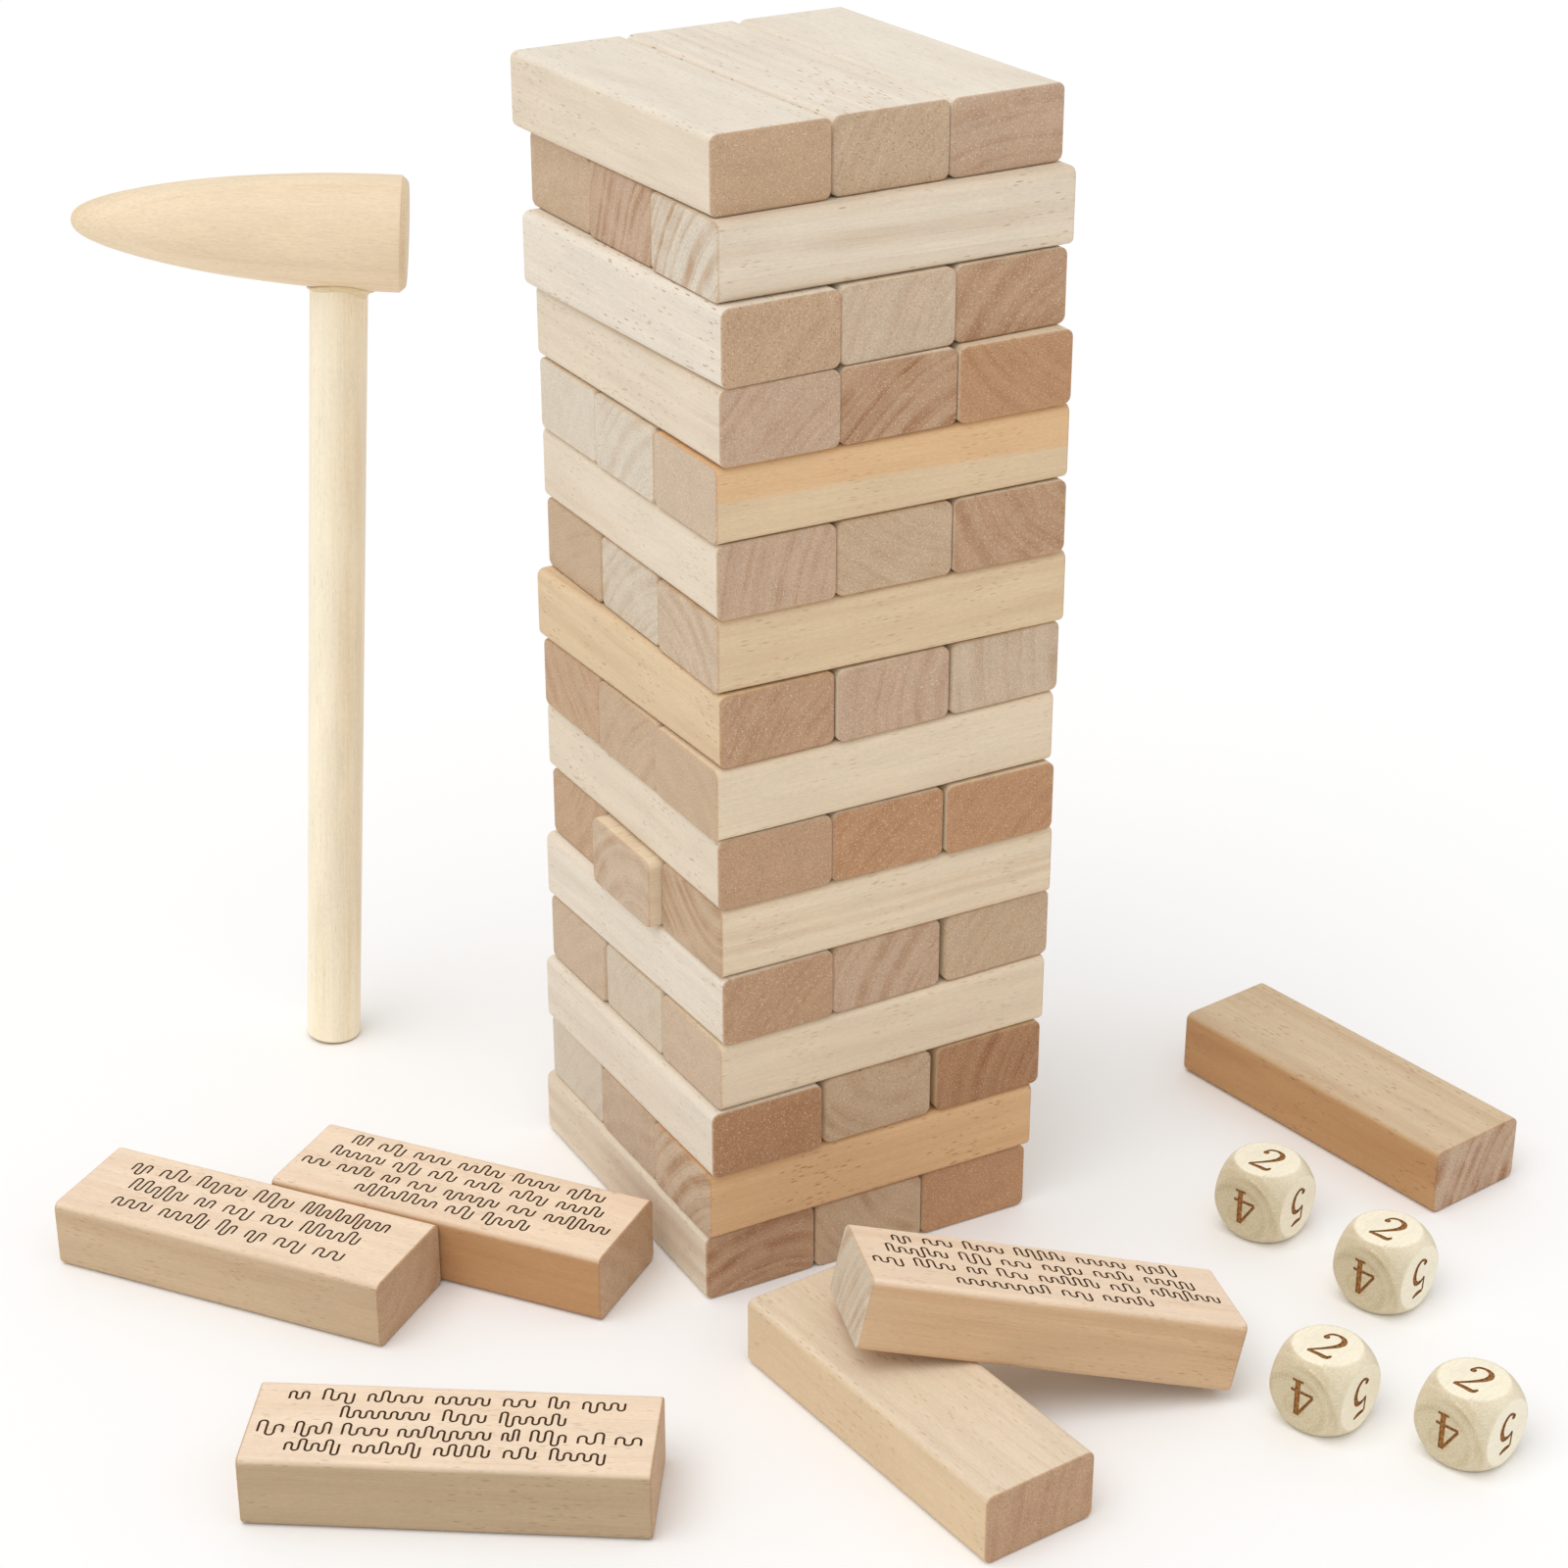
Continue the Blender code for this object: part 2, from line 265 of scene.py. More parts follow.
class TowerWoodSettings(PropertyGroup):
    """Sizes and tones of the blocks."""

    edge_round: length_in("Edge rounding", 3.2, "Radius of the four long edges", 10)
    end_round: length_in("End easing", 1.0, "Radius that sanding gives the ends' edges", 5)
    edge_wear: FloatProperty(
        name="Edge wear", description="How much the long edges' radius varies",
        default=0.05, min=0, max=0.4, subtype="FACTOR",
    )
    mark_depth: length_in("Mark depth", 0.35, "Depth of the marks burnt into drawn blocks", 2)
    stroke_width: length_in("Stroke width", 0.9, "Width of one stroke of the marks", 2)
    burn_tone: tone("Marks", "3a2719", "Marks where they are burnt darkest")
    thin_burn_tone: tone("Thin marks", "5c4029", "Marks where the burn thins out")
    milk: tone("Milk", "ebe0cf", "Palest long face")
    cream: tone("Cream", "e7d8c2", "Usual long face")
    straw: tone("Straw", "e8d5b9", "Slightly yellow long face")
    honey: tone("Honey", "e0c6a2", "Warm long face")
    apricot: tone("Apricot", "e3bb8d", "Pale heartwood long face")
    # Butter to olive are the drawn blocks' long sides, and khaki, oat and peach are tops. The paler
    # top tones are painted light, standing in for the brighter light on an upward face.
    butter: tone("Butter", "cdb391", "Long sides of a drawn block")
    amber: tone("Amber", "c29466", "Warm long sides of a drawn block")
    tawny: tone("Tawny", "c79b6c", "Darkest long sides")
    biscuit: tone("Biscuit", "d3b18b", "Toasted long sides of a drawn block")
    olive: tone("Olive", "bba282", "Greyish long sides of a drawn block")
    khaki: tone("Khaki", "d9c1a0", "Planed top of a tawny block")
    oat: tone("Oat", "e8d5bb", "Warm planed top")
    peach: tone("Peach", "f5dec4", "Pinkish planed top")
    chalk: tone("Chalk", "dcd0bd", "Palest end")
    light: tone("Light", "d7c9b4", "Pale end")
    sand: tone("Sand", "ceb79d", "Sand-coloured end")
    tan: tone("Tan", "c8ad8f", "Usual end")
    rose_tan: tone("Rose tan", "c6a88d", "Pinkish end")
    warm_tan: tone("Warm tan", "c5a483", "Yellower end")
    brown: tone("Brown", "bd9877", "Brown end")
    russet: tone("Russet", "bd9069", "Red-brown end")
    dark: tone("Dark", "b0845f", "Darkest end")


class DiceSettings(PropertyGroup):
    """Sizes and tones of the dice."""

    ball_radius: length_in("Ball radius", 21.0, "Radius of the ball that rounds the corners")
    softness: FloatProperty(
        name="Rim sharpness", description="Higher leaves a crisper rim round each flat",
        default=110.0, min=10, max=200,
    )
    engraving_depth: length_in("Engraving depth", 0.5, "Depth of the numerals", 2)
    long_tone: tone("Flats", "fdf4dc", "Pale side grain of the flats")
    ball_tone: tone("Corners", "f0e4c9", "Turned corners")
    end_tone: tone("End grain", "d3c6a6", "Greyer end grain")
    burn_tone: tone("Numerals", "7d4f24", "Numerals where they are burnt darkest")
    thin_burn_tone: tone("Thin numerals", "b5834a", "Numerals where the burn thins out")


class MalletSettings(PropertyGroup):
    """Tones of the mallet."""

    head_tone: tone("Head", "f2ddbd", "Turned head")
    head_end_tone: tone("Head end", "ecd5b2", "End grain of the head")
    handle_tone: tone("Handle", "fff3d8", "Dowel handle")
    handle_end_tone: tone("Handle end", "e3cca0", "End grain of the handle")
    glue_tone: tone("Glue", "dcc08c", "Dried glue under the head")
    thin_glue_tone: tone("Thin glue", "f2e2bd", "Glue where it is thin")


class StageSettings(PropertyGroup):
    """Light and floor."""

    floor_tone: tone("Floor", "fdfdfd", "Pale floor")
    key_strength: FloatProperty(
        name="Key light", description="Strength of the broad soft light", default=1.05, min=0,
    )
    sky_strength: FloatProperty(
        name="Sky", description="Strength of the even white light all round", default=0.72,
        min=0, max=4,
    )


# ---------------------------------------------------------------------------------------------
# Materials


def add(tree, kind, inputs=(), output=0, **settings):
    """Adds one shader node, joins or sets its inputs, and gives one of its outputs."""
    made = tree.nodes.new("ShaderNode" + kind)
    for key, value in settings.items():
        setattr(made, key, value)
    for key, value in dict(inputs).items():
        if isinstance(value, bpy.types.NodeSocket):
            tree.links.new(value, made.inputs[key])
        else:
            made.inputs[key].default_value = value
    return made.outputs[output]


def new_material(name):
    """A new material, its node tree and its shader."""
    material = bpy.data.materials.new(name)
    material.use_nodes = True
    shader = material.node_tree.nodes["Principled BSDF"]
    return material, material.node_tree, shader


def log_noise(tree, log, across, along, **inputs):
    """Noise in the log, with blots of about these millimetres across and along the grain."""
    scale = (1 / across, 1 / across, 1 / along)
    place = add(tree, "VectorMath", {0: log, 1: scale}, operation="MULTIPLY")
    return add(tree, "TexNoise", {"Vector": place, "Scale": 1, **inputs})


def solid_wood(
    name, pore_size, pore_share, fibre_size, wander, roughness, rings_dark, bump, scorch=0.0
):
    """A sawn and sanded wood, cut out of one solid log, so that faces match at their edges.

    Sizes are in millimetres across and along the grain. The pieces carry the place of every
    point in the log, their tones, and how strongly rings and pores show.
    """
    material, tree, shader = new_material(name)
    log = add(tree, "Attribute", output="Vector", attribute_name="log")
    end = add(tree, "Attribute", output="Fac", attribute_name="end_grain")
    gap = add(tree, "Attribute", output="Fac", attribute_name="ring_gap")
    figure = add(tree, "Attribute", output="Vector", attribute_name="figure")
    figure = add(tree, "SeparateXYZ", {0: figure}).node.outputs
    across = add(tree, "VectorMath", {0: log, 1: (1, 1, 0)}, operation="MULTIPLY")
    radius = add(tree, "VectorMath", {0: across}, output="Value", operation="LENGTH")

    # Growth rings wander by a few millimetres over the length of a hand. Wide soft rings carry
    # thin sharp ones, and both fade in and out.
    slow = log_noise(tree, log, 26, 150, Detail=2)
    shift = add(tree, "MapRange", {0: slow, 1: 0.2, 2: 0.8, 3: -wander / 2, 4: wander / 2})
    radius = add(tree, "Math", {0: radius, 1: shift}, operation="ADD")
    ring = add(tree, "Math", {0: radius, 1: gap}, operation="DIVIDE")
    soft_rings = add(
        tree, "TexNoise", {"W": ring, "Scale": 0.6, "Detail": 1, "Roughness": 0.45},
        noise_dimensions="1D",
    )
    soft_rings = add(
        tree, "MapRange", {0: soft_rings, 1: 0.34, 2: 0.72}, interpolation_type="SMOOTHSTEP"
    )
    fine_place = add(tree, "Math", {0: ring, 1: 3.3, 2: 17.0}, operation="MULTIPLY_ADD")
    fine_rings = add(
        tree, "TexNoise", {"W": fine_place, "Scale": 1, "Detail": 1}, noise_dimensions="1D"
    )
    fine_rings = add(
        tree, "MapRange", {0: fine_rings, 1: 0.58, 2: 0.70}, interpolation_type="SMOOTHSTEP"
    )
    rings = add(tree, "Math", {0: fine_rings, 1: 0.40, 2: soft_rings}, operation="MULTIPLY_ADD")
    fade = log_noise(tree, log, 13, 70, Detail=1)
    fade = add(tree, "MapRange", {0: fade, 1: 0.32, 2: 0.66, 3: 0.3, 4: 1.25})
    rings = add(tree, "Math", {0: rings, 1: fade}, operation="MULTIPLY")

    # Fibres run along the log: streaks on a long face, sanded fuzz on an end.
    fibre = log_noise(tree, log, *fibre_size, Detail=3, Roughness=0.65)

    # Pores are short dark dashes on a long face and dots on an end.
    pore_place = add(
        tree, "VectorMath",
        {0: log, 1: (1 / pore_size[0], 1 / pore_size[0], 1 / pore_size[1])},
        operation="MULTIPLY",
    )
    cells = add(tree, "TexVoronoi", {"Vector": pore_place, "Scale": 1}).node
    lots = add(tree, "SeparateColor", {0: cells.outputs["Color"]}).node.outputs
    pore_reach = add(tree, "MapRange", {0: lots["Green"], 3: 0.5, 4: 1.25})
    far = add(tree, "Math", {0: cells.outputs["Distance"], 1: pore_reach}, operation="DIVIDE")
    inside = add(tree, "MapRange", {0: far, 1: 0.14, 2: 0.34, 3: 1, 4: 0})
    crowding = add(
        tree, "Math", {0: soft_rings, 1: 0.22, 2: 1 - pore_share - 0.11}, operation="MULTIPLY_ADD"
    )
    chosen = add(tree, "Math", {0: lots["Red"], 1: crowding}, operation="GREATER_THAN")
    pores = add(tree, "Math", {0: inside, 1: chosen}, operation="MULTIPLY")
    pores = add(tree, "Math", {0: pores, 1: figure["Z"]}, operation="MULTIPLY")

    # Tone: heartwood first, then end grain over long grain.
    reach = add(tree, "Attribute", output="Fac", attribute_name="heart_reach")
    depth = add(tree, "Math", {0: reach, 1: radius}, operation="SUBTRACT")
    heart = add(tree, "MapRange", {0: depth, 1: -1.5, 2: 1.5}, interpolation_type="SMOOTHSTEP")
    colours = [
        add(tree, "Attribute", output="Color", attribute_name=attribute)
        for attribute in ("long_tone", "heart_tone", "end_tone")
    ]
    long_tone = add(tree, "Mix", {0: heart, 6: colours[0], 7: colours[1]}, 2, data_type="RGBA")
    base = add(tree, "Mix", {0: end, 6: long_tone, 7: colours[2]}, 2, data_type="RGBA")

    # Rings darken the wood towards a red brown, and fibres, fuzz and mottling vary it.
    strength = add(tree, "Mix", {0: end, 2: figure["Y"], 3: figure["X"]}, data_type="FLOAT")
    darkening = add(tree, "Math", {0: rings, 1: strength}, operation="MULTIPLY")
    shade = add(
        tree, "Mix",
        {0: darkening, 6: (1, 1, 1, 1), 7: (*rings_dark, 1)}, 2, data_type="RGBA",
        clamp_factor=True,
    )
    base = add(tree, "Mix", {0: 1.0, 6: base, 7: shade}, 2, data_type="RGBA", blend_type="MULTIPLY")
    light = add(tree, "MapRange", {0: fibre, 1: 0.25, 2: 0.75, 3: 0.94, 4: 1.05})
    fuzz = log_noise(tree, log, 0.7, 2.2, Detail=3, Roughness=0.7)
    fuzz = add(tree, "MapRange", {0: fuzz, 1: 0.3, 2: 0.7, 3: -0.16, 4: 0.16})
    fuzz_share = add(tree, "MapRange", {0: end, 3: 0.35, 4: 1.0})
    light = add(tree, "Math", {0: fuzz, 1: fuzz_share, 2: light}, operation="MULTIPLY_ADD")
    mottle = log_noise(tree, log, 9, 40, Detail=2)
    mottle = add(tree, "MapRange", {0: mottle, 1: 0.3, 2: 0.7, 3: 0.965, 4: 1.03})
    light = add(tree, "Math", {0: light, 1: mottle}, operation="MULTIPLY")
    base = add(tree, "VectorMath", {0: base, "Scale": light}, operation="SCALE")

    # Sanding leaves pale fuzz on the ends and opens the pores.
    flecks = log_noise(tree, log, 0.55, 3, Detail=1)
    flecks = add(tree, "MapRange", {0: flecks, 1: 0.60, 2: 0.74, 3: 0, 4: 0.55})
    flecks = add(tree, "Math", {0: flecks, 1: end}, operation="MULTIPLY")
    base = add(tree, "Mix", {0: flecks, 6: base, 7: (*linear("f0e2cf"), 1)}, 2, data_type="RGBA")

    # The eased edge of an end is a little burnt by the belt.
    inner = add(tree, "Math", {0: 1.0, 1: end}, operation="SUBTRACT")
    rim = add(tree, "Math", {0: inner, 1: end}, operation="MULTIPLY")
    rim = add(tree, "MapRange", {0: rim, 1: 0.02, 2: 0.22, 3: 0, 4: scorch})
    browner = add(tree, "VectorMath", {0: base, 1: (0.84, 0.70, 0.56)}, operation="MULTIPLY")
    base = add(tree, "Mix", {0: rim, 6: base, 7: browner}, 2, data_type="RGBA")
    hole = add(tree, "VectorMath", {0: base, 1: (0.60, 0.42, 0.27)}, operation="MULTIPLY")
    base = add(tree, "Mix", {0: pores, 6: base, 7: hole}, 2, data_type="RGBA")
    tree.links.new(base, shader.inputs["Base Color"])

    gloss = add(
        tree, "MapRange", {0: fibre, 1: 0.3, 2: 0.7, 3: roughness - 0.05, 4: roughness + 0.07}
    )
    tree.links.new(gloss, shader.inputs["Roughness"])
    height = add(tree, "Math", {0: pores, 1: -1.6, 2: fibre}, operation="MULTIPLY_ADD")
    relief = add(tree, "Bump", {"Strength": 0.7, "Distance": bump * MM, "Height": height})
    tree.links.new(relief, shader.inputs["Normal"])
    shader.inputs["IOR"].default_value = 1.5
    shader.inputs["Specular IOR Level"].default_value = 0.35
    return material


def sanded_rubberwood():
    """Rubberwood, sawn and drum sanded: matt, pale, with open pores as short brown dashes, and
    darker, pinker ends with pale fuzz. Pores of about 0.2 mm are drawn twice as wide, and the
    fuzz in specks of 0.6 mm, so that they show."""
    return solid_wood(
        "sanded_rubberwood", pore_size=(0.85, 5.5), pore_share=0.27, fibre_size=(0.8, 26.0),
        wander=3.0, roughness=0.6, rings_dark=linear("d2b08e"), bump=0.10, scorch=0.6,
    )


def sanded_basswood():
    """Basswood, turned and fine sanded: nearly white, close grained, with faint rings a
    millimetre apart on its end grain and almost no pores."""
    return solid_wood(
        "sanded_basswood", pore_size=(0.8, 5.0), pore_share=0.10, fibre_size=(0.6, 7.0),
        wander=1.6, roughness=0.5, rings_dark=linear("d8c49c"), bump=0.05,
    )


def turned_beech():
    """Beech, turned on a lathe and sanded: even pale tan with fine flecks 1 to 3 mm long and
    wide soft rings that show as long ovals where the cut is shallow."""
    return solid_wood(
        "turned_beech", pore_size=(0.9, 2.4), pore_share=0.30, fibre_size=(0.9, 6.0),
        wander=9.0, roughness=0.48, rings_dark=linear("e0c39c"), bump=0.06,
    )


def birch_dowel():
    """Birch, planed round and sanded: pale yellow with straight faint streaks."""
    return solid_wood(
        "birch_dowel", pore_size=(0.9, 9.0), pore_share=0.08, fibre_size=(0.8, 34.0),
        wander=3.0, roughness=0.46, rings_dark=linear("e6c898"), bump=0.05,
    )


def burnt_wood(name, settings):
    """Wood burnt by a hot stamp or a laser: matt, dark at the bottom and browner where the
    burn thins out. The mottling is about a millimetre."""
    material, tree, shader = new_material(name)
    place = add(tree, "TexCoord", output="Object")
    mottle = add(tree, "TexNoise", {"Vector": place, "Scale": 900, "Detail": 2})
    mottle = add(tree, "MapRange", {0: mottle, 1: 0.35, 2: 0.7})
    colour = add(
        tree, "Mix",
        {0: mottle, 6: (*settings.burn_tone, 1), 7: (*settings.thin_burn_tone, 1)}, 2,
        data_type="RGBA",
    )
    tree.links.new(colour, shader.inputs["Base Color"])
    shader.inputs["Roughness"].default_value = 0.8
    shader.inputs["Specular IOR Level"].default_value = 0.2
    return material


def dried_glue(settings):
    """Wood glue that squeezed out and dried: glossy amber with ripples a few mm wide."""
    material, tree, shader = new_material("dried_wood_glue")
    place = add(tree, "TexCoord", output="Object")
    ripples = add(tree, "TexNoise", {"Vector": place, "Scale": 350, "Detail": 2})
    thin = add(
        tree, "Mix",
        {0: ripples, 6: (*settings.glue_tone, 1), 7: (*settings.thin_glue_tone, 1)}, 2,
        data_type="RGBA",
    )
    tree.links.new(thin, shader.inputs["Base Color"])
    relief = add(tree, "Bump", {"Strength": 0.6, "Distance": 0.3 * MM, "Height": ripples})
    tree.links.new(relief, shader.inputs["Normal"])
    shader.inputs["Roughness"].default_value = 0.22
    shader.inputs["IOR"].default_value = 1.47
    return material


def matt_paper(colour):
    """Studio paper for the floor: white and matt, with a very faint cloudiness 0.3 m wide."""
    material, tree, shader = new_material("matt_studio_paper")
    place = add(tree, "TexCoord", output="Object")
    clouds = add(tree, "TexNoise", {"Vector": place, "Scale": 3, "Detail": 1})
    paler = tuple(min(1.0, c * 1.01) for c in colour)
    mixed = add(tree, "Mix", {0: clouds, 6: (*colour, 1), 7: (*paler, 1)}, 2, data_type="RGBA")
    tree.links.new(mixed, shader.inputs["Base Color"])
    shader.inputs["Roughness"].default_value = 0.9
    shader.inputs["Specular IOR Level"].default_value = 0.0
    return material


# ---------------------------------------------------------------------------------------------
# Reading the frame


def flats(node):
    """The flat faces of a CAD node, largest first: [area, outward normal, distance along it]."""
    found = []
    for face in frame["nodes"][node].data.polygons:
        along = face.normal.dot(face.center)
        for flat in found:
            if flat[1].dot(face.normal) > 0.9999 and abs(flat[2] - along) < 5e-5:
                flat[0] += face.area
                break
        else:
            found.append([face.area, face.normal.copy(), along])
    return sorted(found, key=lambda flat: -flat[0])


def block_frame(node):
    """Where a block lies, as a matrix with X along it and Z up, and its size."""
    six = flats(node)[:6]
    pairs = [six[0:2], six[2:4], six[4:6]]
    thick, wide, long = [max(pair, key=lambda flat: tuple(flat[1])) for pair in pairs]
    sizes = [sum(flat[2] for flat in pair) for pair in (pairs[2], pairs[1], pairs[0])]
    up = thick[1] if thick[1].z > 0 else -thick[1]
    points_to = RIGHT_OF_VIEW if node.startswith("loose") else Vector((1, 1, 0))
    x = long[1] if long[1].dot(points_to) > 0 else -long[1]
    y = up.cross(x)
    centre = Vector()
    for pair in pairs:
        centre += pair[0][1] * (pair[0][2] - pair[1][2]) / 2
    matrix = Matrix((x, y, up)).transposed().to_4x4()
    matrix.translation = centre
    return matrix, Vector(sizes)


# ---------------------------------------------------------------------------------------------
# Meshes


def mesh_object(name, points, faces, materials):
    """A new object in the scene, from its points and faces."""
    mesh = bpy.data.meshes.new(name)
    mesh.from_pydata(points, [], faces)
    mesh.update()
    for material in materials:
        mesh.materials.append(material)
    obj = bpy.data.objects.new(name, mesh)
    bpy.context.scene.collection.objects.link(obj)
    return obj


def carve(obj, cutter, use_self=False):
    """Cuts a piece with an exact Boolean, whose cut faces keep the cutter's material."""
    modifier = obj.modifiers.new("Carve", "BOOLEAN")
    modifier.operation = "DIFFERENCE"
    modifier.solver = "EXACT"
    modifier.use_self = use_self
    modifier.material_mode = "TRANSFER"
    modifier.object = cutter
    bpy.context.view_layer.update()
    graph = bpy.context.evaluated_depsgraph_get()
    carved = bpy.data.meshes.new_from_object(obj.evaluated_get(graph))
    obj.modifiers.clear()
    old, obj.data = obj.data, carved
    carved.name = obj.name
    bpy.data.meshes.remove(old)
    bpy.data.objects.remove(cutter, do_unlink=True)


def finish_skin(obj, normal_at, log_at, tones, figure, gap, heart_reach=NO_HEARTWOOD):
    """Gives a piece its smooth normals and writes the wood's values on its points.

    tones holds a function for the long grain, from the normal, and the heart and end tones.
    figure says how strongly rings show on the ends, rings on the long faces, and pores. gap is
    the width of a growth ring in millimetres.
    """
    mesh = obj.data
    points = [v.co.copy() for v in mesh.vertices]
    normals = [normal_at(p) for p in points]
    mesh.shade_smooth()
    corner_normals = []
    for face in mesh.polygons:
        for corner in range(face.loop_start, face.loop_start + face.loop_total):
            smooth = normals[mesh.loops[corner].vertex_index]
            skin = face.material_index == 0 and smooth.dot(face.normal) > 0.5
            corner_normals.append(tuple(smooth if skin else face.normal))
    mesh.normals_split_custom_set(corner_normals)
    count = len(points)
    long_tone, heart_tone, end_tone = tones
    # End grain takes over from long grain where the skin turns towards an end.
    values = {
        "log": ("FLOAT_VECTOR", [c for p in points for c in log_at(p)]),
        "end_grain": ("FLOAT", [min(1.0, max(0.0, abs(n.x) * 1.25 - 0.2)) for n in normals]),
        "ring_gap": ("FLOAT", [gap] * count),
        "heart_reach": ("FLOAT", [heart_reach] * count),
        "figure": ("FLOAT_VECTOR", list(figure) * count),
        "long_tone": ("FLOAT_COLOR", [c for n in normals for c in (*long_tone(n), 1)]),
        "heart_tone": ("FLOAT_COLOR", [*heart_tone, 1] * count),
        "end_tone": ("FLOAT_COLOR", [*end_tone, 1] * count),
    }
    fields = {"FLOAT": "value", "FLOAT_VECTOR": "vector", "FLOAT_COLOR": "color"}
    for name, (kind, numbers) in values.items():
        layer = mesh.attributes.new(name, kind, "POINT")
        layer.data.foreach_set(fields[kind], np.array(numbers, np.float32))
    return obj


def settle(obj, matrix, node):
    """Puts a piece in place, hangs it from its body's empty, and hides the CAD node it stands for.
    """
    obj.matrix_world = matrix
    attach(obj, BODY_OF[node])
    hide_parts(node)


def section(half, radius, inset, steps=5):
    """A ring of points round a bar's rounded section, set in by inset."""
    ring = []
    for quarter, (y, z) in enumerate(((1, 1), (-1, 1), (-1, -1), (1, -1))):
        for k in range(steps + 1):
            t = math.radians(90 * (quarter + k / steps))
            ring.append(
                (y * (half.y - radius) + (radius - inset) * math.cos(t),
                 z * (half.z - radius) + (radius - inset) * math.sin(t))
            )
    return ring


def rounded_bar(name, half, radius_at, end_round, materials, between=12, steps=4):
    """A bar along X: long edges rounded by radius_at(x), and the edges of both ends eased."""
    reach = half.x - end_round
    turns = [math.radians(90 * k / steps) for k in range(steps + 1)]
    low = [(-reach - end_round * math.sin(t), end_round * (1 - math.cos(t))) for t in turns]
    rows = low[::-1] + [(reach * (2 * k / between - 1), 0.0) for k in range(1, between)]
    rows += [(-x, inset) for x, inset in low]
    rings = [section(half, radius_at(x), inset) for x, inset in rows]
    count = len(rings[0])
    points = [(x, y, z) for (x, _), ring in zip(rows, rings) for y, z in ring]
    faces = [list(reversed(range(count))), [len(points) - count + k for k in range(count)]]
    for row in range(len(rows) - 1):
        for k in range(count):
            a, b = row * count + k, row * count + (k + 1) % count
            faces.append([a, b, b + count, a + count])
    return mesh_object(name, points, faces, materials)


def bar_normal(p, half, radius, end_round):
    """The normal of a rounded bar's skin at a point on it."""
    y, z = abs(p.y) - half.y + radius, abs(p.z) - half.z + radius
    out = Vector((0, max(y, 0), max(z, 0)))
    depth = out.length - radius if max(y, z) > 0 else max(y, z) - radius
    if max(y, z) <= 0:
        out = Vector((0, 1, 0)) if y > z else Vector((0, 0, 1))
    out.normalize()
    out.y, out.z = math.copysign(out.y, p.y), math.copysign(out.z, p.z)
    side = max(depth + end_round, 0)
    along = max(abs(p.x) - half.x + end_round, 0)
    return (out * side + Vector((math.copysign(along, p.x), 0, 0))).normalized()


def prisms(name, outlines, bottom, top, material, place=Matrix()):
    """Closed upright prisms over flat outlines, as one cutter."""
    points, faces = [], []
    for outline in outlines:
        start, count = len(points), len(outline)
        points += [place @ Vector((x, y, z)) for z in (bottom, top) for x, y in outline]
        faces.append([start + i for i in reversed(range(count))])
        faces.append([start + count + i for i in range(count)])
        for i in range(count):
            j = (i + 1) % count
            faces.append([start + i, start + j, start + count + j, start + count + i])
    return mesh_object(name, points, faces, [material])


# ---------------------------------------------------------------------------------------------
# Blocks


def wavy_line(left, width, foot, height, stroke, draw):
    """The outline of one pen line that waves up and down like joined writing, but says nothing.

    It is a run of uprights, joined by half rings at the top and at the foot in turn, some of
    them taller or lower than the rest.
    """
    uprights = max(4, round(width / (UPRIGHT_GAP * MM)))
    step = width / (uprights - 1)
    bend = step / 2
    turns = [math.radians(180 * k / 8) for k in range(9)]
    path = [((left, foot), (0, 1))]
    for k in range(uprights - 1):
        middle = left + (k + 0.5) * step
        chance = draw.random()
        if k % 2 == 0:
            level = foot + height * (TALL_HEIGHT if chance < TALL_SHARE else 1) - bend
            path += [
                ((middle - bend * math.cos(t), level + bend * math.sin(t)),
                 (math.sin(t), math.cos(t)))
                for t in turns
            ]
        else:
            level = foot - height * (LOW_DEPTH if chance < LOW_SHARE else 0) + bend
            path += [
                ((middle - bend * math.cos(t), level - bend * math.sin(t)),
                 (math.sin(t), -math.cos(t)))
                for t in turns
            ]
    rises = uprights % 2 == 1
    last = left + width
    path.append(((last, foot + height if rises else foot), (0, 1 if rises else -1)))
    half = stroke / 2
    one = [(x - half * dy, y + half * dx) for (x, y), (dx, dy) in path]
    other = [(x + half * dy, y - half * dx) for (x, y), (dx, dy) in path]
    return other + one[::-1]


def mark_outlines(lines, size, stroke, seed):
    """Rows of wavy lines, one for each word of a task, over the top face of a block."""
    draw = random.Random(seed)
    count = len(lines)
    leading = LEADING[count] * MM
    height = 0.44 * leading
    outlines = []
    for row, words in enumerate(lines):
        letters = sum(words) + len(words) - 1
        letter = min(LETTER_WIDTH[count] * leading, (size.x - MARK_MARGIN) / letters)
        x = -letters * letter / 2
        foot = ((count - 1) / 2 - row) * leading - height / 2
        for word in words:
            width = (word - 0.35) * letter
            outlines.append(wavy_line(x, width, foot, height, stroke, draw))
            x += (word + 1) * letter
    return outlines


